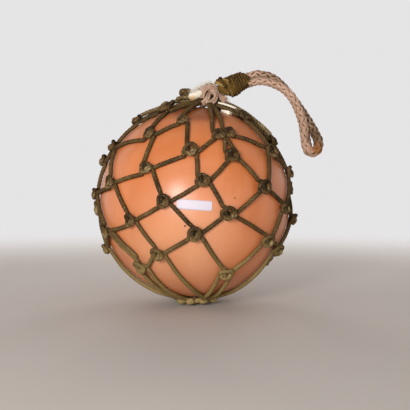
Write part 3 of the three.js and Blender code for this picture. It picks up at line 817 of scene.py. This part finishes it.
def make_twine_tails():
    """Two short tails of white twine, opened out at their ends."""
    rng = np.random.default_rng(9)
    look = white_twine_look()
    for index, (radius, points) in enumerate(TWINE_TAILS, 1):
        shell = Shell()
        for off in (-0.5, 0.5):
            side = np.array([0, 0, off * radius])
            rows = [[*(np.array(point) + side * (1 + 0.2 * k)), 1.0] for k, point in enumerate(points)]
            shell.sweep(smooth_route(rows, 0.001), radius * 0.7, lay=0.007, relief=0.04)
        before, end = np.array(points[-2:])
        roots = end + rng.normal(size=(TAIL_FIBRES, 3)) * radius * 0.5
        ways = end - before + rng.normal(size=(TAIL_FIBRES, 3)) * 0.006
        shell.fibres(roots, ways, rng.uniform(0.001, 0.003, TAIL_FIBRES), 0.0002, rng)
        shell.piece(f"twine_tail_{index}_strands", look, "white_twine", [f"twine_tail_{index}"])


# ---------------- places on the float

NET_AXIS = unit(NET_LEAN)
NET_FRONT = flattened((0, -1, 0), NET_AXIS)
NET_RIGHT = np.cross(NET_AXIS, NET_FRONT)
COLLAR_DIRECTION = unit(COLLAR_CENTRE - FLOAT_CENTRE)


def knot_frame(row, knot):
    """Which way is out, up and sideways at a knot of the net."""
    index = knot % KNOTS_PER_ROW
    wander, rise = WANDERING_KNOTS.get((row, index), (0, 0))
    start = EVEN_ROW_START if row % 2 == 0 else ODD_ROW_START
    longitude = math.radians(start + MESH_STEP * index + wander)
    latitude = math.radians(ROW_LATITUDES[row] + rise)
    level = NET_FRONT * math.cos(longitude) + NET_RIGHT * math.sin(longitude)
    leaning = NET_AXIS * math.sin(latitude) + level * math.cos(latitude)
    behind = max(leaning[1], 0) / math.hypot(leaning[0], leaning[1])
    axis = unit(np.cross((0, 0, -1), leaning))
    out = turned(leaning, axis, -(BACK_SAG_TOP + BACK_SAG_STEP * row) * behind ** 2)
    up = flattened(COLLAR_DIRECTION, out)
    return out, up, np.cross(up, out)


def beside_knot(placing, across, rise, lie):
    """A place so far across and up from the middle of a knot, round the float."""
    out, up, side = placing
    return FLOAT_CENTRE + unit(out * lie + side * across + up * rise) * lie


def between(start, end, share, lie=CORD_LIE):
    """Part of the way between two places, round the float."""
    a, b = unit(start - FLOAT_CENTRE), unit(end - FLOAT_CENTRE)
    apart = math.degrees(math.acos(np.clip(np.dot(a, b), -1, 1)))
    return FLOAT_CENTRE + turned(a, unit(np.cross(a, b)), apart * share) * lie


# ---------------- the net

def knot_turns(row, knot, turns):
    """The places of one cord's turns in a knot; each knot is pulled up a little differently."""
    rng = np.random.default_rng(1000 + 50 * row + knot % KNOTS_PER_ROW)
    spin = math.radians(rng.uniform(-8, 8))
    size = KNOT_UNIT * rng.uniform(0.9, 1.1)
    if row == 0 and knot % KNOTS_PER_ROW in SINGLE_TOP_KNOTS:
        size *= SINGLE_KNOT_SIZE
    stretch = rng.uniform(0.88, 1.12)
    soil = rng.uniform(-0.15, 0.15)
    placing = knot_frame(row, knot)
    rows = []
    for across, rise, out, wear_and_shade in turns:
        inner = max(abs(across), abs(rise)) < KNOT_REACH
        across = across * stretch + inner * rng.uniform(-0.14, 0.14)
        rise = rise / stretch + inner * rng.uniform(-0.14, 0.14)
        out = out + inner * (KNOT_BULGE * (out - 0.6) + rng.uniform(-0.12, 0.12))
        x = across * math.cos(spin) - rise * math.sin(spin)
        y = across * math.sin(spin) + rise * math.cos(spin)
        place = beside_knot(placing, x * size, y * size, FLOAT_RADIUS + out * size)
        rows.append([*place, wear_and_shade + soil + KNOT_BLEACH * row / LAST_ROW, KNOT_TIGHTNESS])
    return rows


def leg(start, end, rng, shares=(0.14, 0.5, 0.86), pull=0.0):
    """The places of a cord between two knots: nearly straight round the float, or pulled to one side."""
    a, b = np.array(start[:3]), np.array(end[:3])
    side = unit(np.cross(a - FLOAT_CENTRE, b - a))
    wear_and_shade = rng.uniform(0.45, 0.7)
    rows = []
    for share in shares:
        off = rng.uniform(-0.0004, 0.0004) + pull * math.sin(math.pi * share)
        place = between(a, b, share) + side * off
        rows.append([*place, wear_and_shade + rng.uniform(-0.08, 0.08), rng.uniform(0.97, 1.03)])
    return rows


def knot_below_right(row, knot):
    """Which knot of the next row is down and to the right."""
    return knot + 1 if row % 2 == 0 else knot


def half_mesh(row, knot, own, following, rng):
    """From a knot down to the next row's knot on its right, round in a bight and on to the next knot."""
    bight = knot_turns(row + 1, knot_below_right(row, knot), BIGHT_TURNS)
    return leg(own[-1], bight[0], rng) + bight + leg(bight[-1], following[0], rng)


def net_course(shell, row, rng):
    """A whole row of half meshes, closed on itself."""
    knots = [knot_turns(row, knot, OWN_TURNS) for knot in range(KNOTS_PER_ROW)]
    rows = []
    for knot in range(KNOTS_PER_ROW):
        rows += knots[knot] + half_mesh(row, knot, knots[knot], knots[(knot + 1) % KNOTS_PER_ROW], rng)
    route = smooth_route(rows, CORD_STEP, closed=True)
    shell.sweep(route, CORD_RADIUS, closed=True, relief=0.14, groove_shade=0.5)


def doubled_leg(shell, rng):
    """A second cord beside the leg that comes down to the last row at the left."""
    start = np.array(knot_turns(LAST_ROW - 1, DOUBLED_LEG_KNOT, OWN_TURNS)[-1][:3])
    end = np.array(knot_turns(LAST_ROW, DOUBLED_LEG_KNOT, BIGHT_TURNS)[0][:3])
    side = unit(np.cross(start - FLOAT_CENTRE, end - start))
    rows = [[*(between(start, end, share) + side * DOUBLED_LEG_GAP * off), rng.uniform(0.5, 0.7)]
            for share, off in DOUBLED_LEG_SHAPE]
    shell.sweep(smooth_route(rows, CORD_STEP), CORD_RADIUS)


def foot_azimuth(knot, side):
    """The degrees round at which a last knot's left (-1) or right (1) cord goes in under the float."""
    return EVEN_ROW_START + MESH_STEP * (knot + side / 4) + DRAWN_LEGS.get((knot, side), 0)


def at_foot(azimuth, radius, height):
    """A place in the foot, its azimuth counted from the front and on to the right."""
    angle = math.radians(azimuth)
    return np.array([radius * math.sin(angle), -radius * math.cos(angle), height])


def foot_run(start, azimuth, rng, pull=0.0):
    """From a knot down to the rim of the foot, in under the float and round in the net's crushed end."""
    rows = leg(start, at_foot(azimuth, FOOT_RIM, FOOT_RIM_HEIGHT), rng, (0.25, 0.5, 0.75), pull)
    turn = rng.choice((-1, 1))
    for lean, radius, height, wear_and_shade in FOOT_TURNS:
        radius, height = radius * rng.uniform(0.94, 1.06), height * rng.uniform(0.95, 1.1)
        rows.append([*at_foot(azimuth + turn * lean, radius, height), wear_and_shade, 1.0])
    return rows


def last_course(shell, row, rng):
    """The last whole row: it opens at the front, where its two ends run down to the foot."""
    first, last = SKIPPED_LAST_KNOTS
    start, end = last + 1, first + KNOTS_PER_ROW
    knots = {knot: knot_turns(row, knot, OWN_TURNS) for knot in range(start, end + 1)}
    rows = []
    for knot in range(start, end + 1):
        rows += knots[knot]
        if knot < end:
            rows += half_mesh(row, knot, knots[knot], knots[knot + 1], rng)
    before = foot_run(rows[0], foot_azimuth(last, 1), rng)[::-1]
    after = foot_run(rows[-1], foot_azimuth(first, -1), rng, SLACK_LEG_PULL)
    shell.sweep(smooth_route(before + rows + after, CORD_STEP), CORD_RADIUS)


def foot_knot(shell, row, knot, left, right, rng):
    """A knot with both its cords running down into the foot."""
    own = knot_turns(row, knot, OWN_TURNS)
    rows = foot_run(own[0], left, rng)[::-1] + own + foot_run(own[-1], right, rng)
    shell.sweep(smooth_route(rows, CORD_STEP), CORD_RADIUS)


def net_foot(shell, rng):
    """The drawn-in end of the net, crushed under the float."""
    for knot in range(KNOTS_PER_ROW):
        if knot not in SKIPPED_LAST_KNOTS:
            foot_knot(shell, LAST_ROW, knot, foot_azimuth(knot, -1), foot_azimuth(knot, 1), rng)
    first, last = SKIPPED_LAST_KNOTS
    foot_knot(shell, LAST_ROW - 1, last, foot_azimuth(first, 1), foot_azimuth(last, -1), rng)
    for radius, height, waves in FOOT_LOOPS:
        rows = []
        for azimuth in range(0, 360, 15):
            ripple = math.sin(math.radians(azimuth) * waves + radius * 900)
            place = at_foot(azimuth, radius + 0.0022 * ripple, height + 0.0016 * ripple)
            rows.append([*place, rng.uniform(0.6, 1.3), rng.uniform(0.85, 1.05)])
        shell.sweep(smooth_route(rows, CORD_STEP, closed=True), CORD_RADIUS * 0.92, closed=True)
    for lump in FOOT_LUMPS:
        shell.sweep(wound(at_foot(*lump), FOOT_LUMP_HALF_SIZE, 3, 4, 1.0), CORD_RADIUS * 0.75)


def top_cord(shell, knot, rng):
    """The cord that a top knot hangs from, up to the collar: doubled round the knot, or a single one."""
    _, up, side = knot_frame(0, knot)
    bight = knot_turns(0, knot, BIGHT_TURNS)

    def rise(end, off):
        inside = COLLAR_CENTRE - up * 0.006 + side * off * 0.5
        lift = np.linalg.norm(inside - FLOAT_CENTRE) - CORD_LIE
        rows = []
        for share in (0.3, 0.55, 0.8):
            place = between(np.array(end[:3]), inside, share, CORD_LIE + lift * share ** 1.6)
            # These cords get more wear than the legs below: partly painted light, as the top of the net is
            # less lit.
            rows.append([*(place + side * off * 0.35), rng.uniform(0.6, 0.8), 1.05])
        return rows + [[*inside, 0.6, 1.0]]

    if knot in SINGLE_TOP_KNOTS:
        rows = rise(bight[0], -0.002)[::-1] + bight[:-2]
    else:
        rows = rise(bight[0], -0.005)[::-1] + bight + rise(bight[-1], 0.005)
    shell.sweep(smooth_route(rows, CORD_STEP), CORD_RADIUS)


def net_top(shell, rng):
    """The cords that draw the top row together, the collar they are bound into, and its tie knot."""
    for knot in range(KNOTS_PER_ROW):
        top_cord(shell, knot, rng)
    shell.sweep(wound(COLLAR_CENTRE, COLLAR_HALF_SIZE * 0.8, 5, 7, 0.65), CORD_RADIUS)
    shell.sweep(wound(COLLAR_CENTRE, COLLAR_HALF_SIZE * (0.45, 0.45, 0.6), 3, 5, 0.5), CORD_RADIUS)
    shell.sweep(wound(TIE_KNOT_CENTRE, TIE_KNOT_HALF_SIZE, 4, 7, 0.5), CORD_RADIUS * 0.85)
    for points in TIE_CORDS + SHOULDER_CORDS:
        shell.sweep(smooth_route([[*point, 0.95] for point in points], CORD_STEP), CORD_RADIUS)


def make_net():
    """The whole net, one piece."""
    rng = np.random.default_rng(3)
    shell = Shell()
    for row in range(LAST_ROW - 1):
        net_course(shell, row, rng)
    last_course(shell, LAST_ROW - 1, rng)
    doubled_leg(shell, rng)
    net_foot(shell, rng)
    net_top(shell, rng)
    look = cord_look("net_cord", "2a1e0e", "5f4727", "a8966e", 0.7, low_tint="a58d58")
    nodes = [f"net_course_{row}" for row in range(1, LAST_ROW + 1)] + ["net_foot", "net_top"]
    shell.piece("cord_net", look, "net_cord", nodes)


# ---------------- the float and its label

def make_float():
    """A blown ball, not quite true."""
    mesh = bpy.data.meshes.new("float_ball_glass")
    shape = bmesh.new()
    bmesh.ops.create_uvsphere(shape, u_segments=FLOAT_SEGMENTS, v_segments=FLOAT_SEGMENTS // 2,
                              radius=FLOAT_RADIUS)
    for vertex in shape.verts:
        x, y, z = vertex.co / FLOAT_RADIUS
        wave = math.sin(2.3 * x + 1.1) * math.cos(2.9 * z) + 0.6 * math.sin(3.7 * y + 2.0 * z)
        vertex.co *= 1 + FLOAT_UNEVENNESS * (wave - 1)
        vertex.co += Vector(FLOAT_CENTRE)
    shape.to_mesh(mesh)
    mesh.shade_smooth()
    placed("float_ball_glass", mesh, glass_look(), ["float_ball"])


def make_label():
    """A plain sticker with rounded corners, bent to the float."""
    ends = LABEL_WIDTH / 2 - LABEL_CORNER * (1 - np.sin(np.linspace(0, math.pi / 2, 6)))
    columns = np.concatenate([-ends[::-1], np.linspace(-ends[0], ends[0], 26)[1:-1], ends])
    past = np.clip(np.abs(columns) - (LABEL_WIDTH / 2 - LABEL_CORNER), 0, LABEL_CORNER)
    half = LABEL_HEIGHT / 2 - LABEL_CORNER + np.sqrt(LABEL_CORNER ** 2 - past ** 2)
    levels = np.linspace(-1, 1, 9)
    x = np.repeat(columns, len(levels))
    y = (half[:, None] * levels[None, :]).ravel()
    tilt = math.radians(LABEL_TILT)
    across = x * math.cos(tilt) - y * math.sin(tilt) + LABEL_PLACE[0]
    rise = x * math.sin(tilt) + y * math.cos(tilt) + LABEL_PLACE[1] - FLOAT_CENTRE[2]
    facing = np.stack([across, -np.sqrt(FLOAT_RADIUS ** 2 - across ** 2 - rise ** 2), rise], axis=1)
    facing /= np.linalg.norm(facing, axis=1)[:, None]
    curl = 0.0003 * (np.abs(x) / (LABEL_WIDTH / 2)) ** 6
    front = FLOAT_CENTRE + facing * (FLOAT_RADIUS + LABEL_THICKNESS + curl)[:, None]
    back = FLOAT_CENTRE + facing * (FLOAT_RADIUS - 0.0002 + curl)[:, None]
    rows, count = len(levels), len(x)
    faces = [[i * rows + j, (i + 1) * rows + j, (i + 1) * rows + j + 1, i * rows + j + 1]
             for i in range(len(columns) - 1) for j in range(rows - 1)]
    edge = ([i * rows for i in range(len(columns))] + [count - rows + j for j in range(1, rows)]
            + [i * rows + rows - 1 for i in range(len(columns) - 2, -1, -1)] + list(range(rows - 2, 0, -1)))
    backs = [[count + i for i in face[::-1]] for face in faces]
    sides = [[a, count + a, count + b, b] for a, b in zip(edge, edge[1:] + edge[:1])]
    shell = Shell()
    shell.add(np.vstack([front, back]), faces + backs + sides, 1.0)
    shell.piece("label_sticker", paper_look(), "label_paper", ["label"])


# ---------------- the scene

make_camera()
make_rope()
make_studio()
make_floor()
make_whipping()
make_hitch()
make_twine_tails()
make_net()
make_float()
make_label()

bpy.context.view_layer.update()
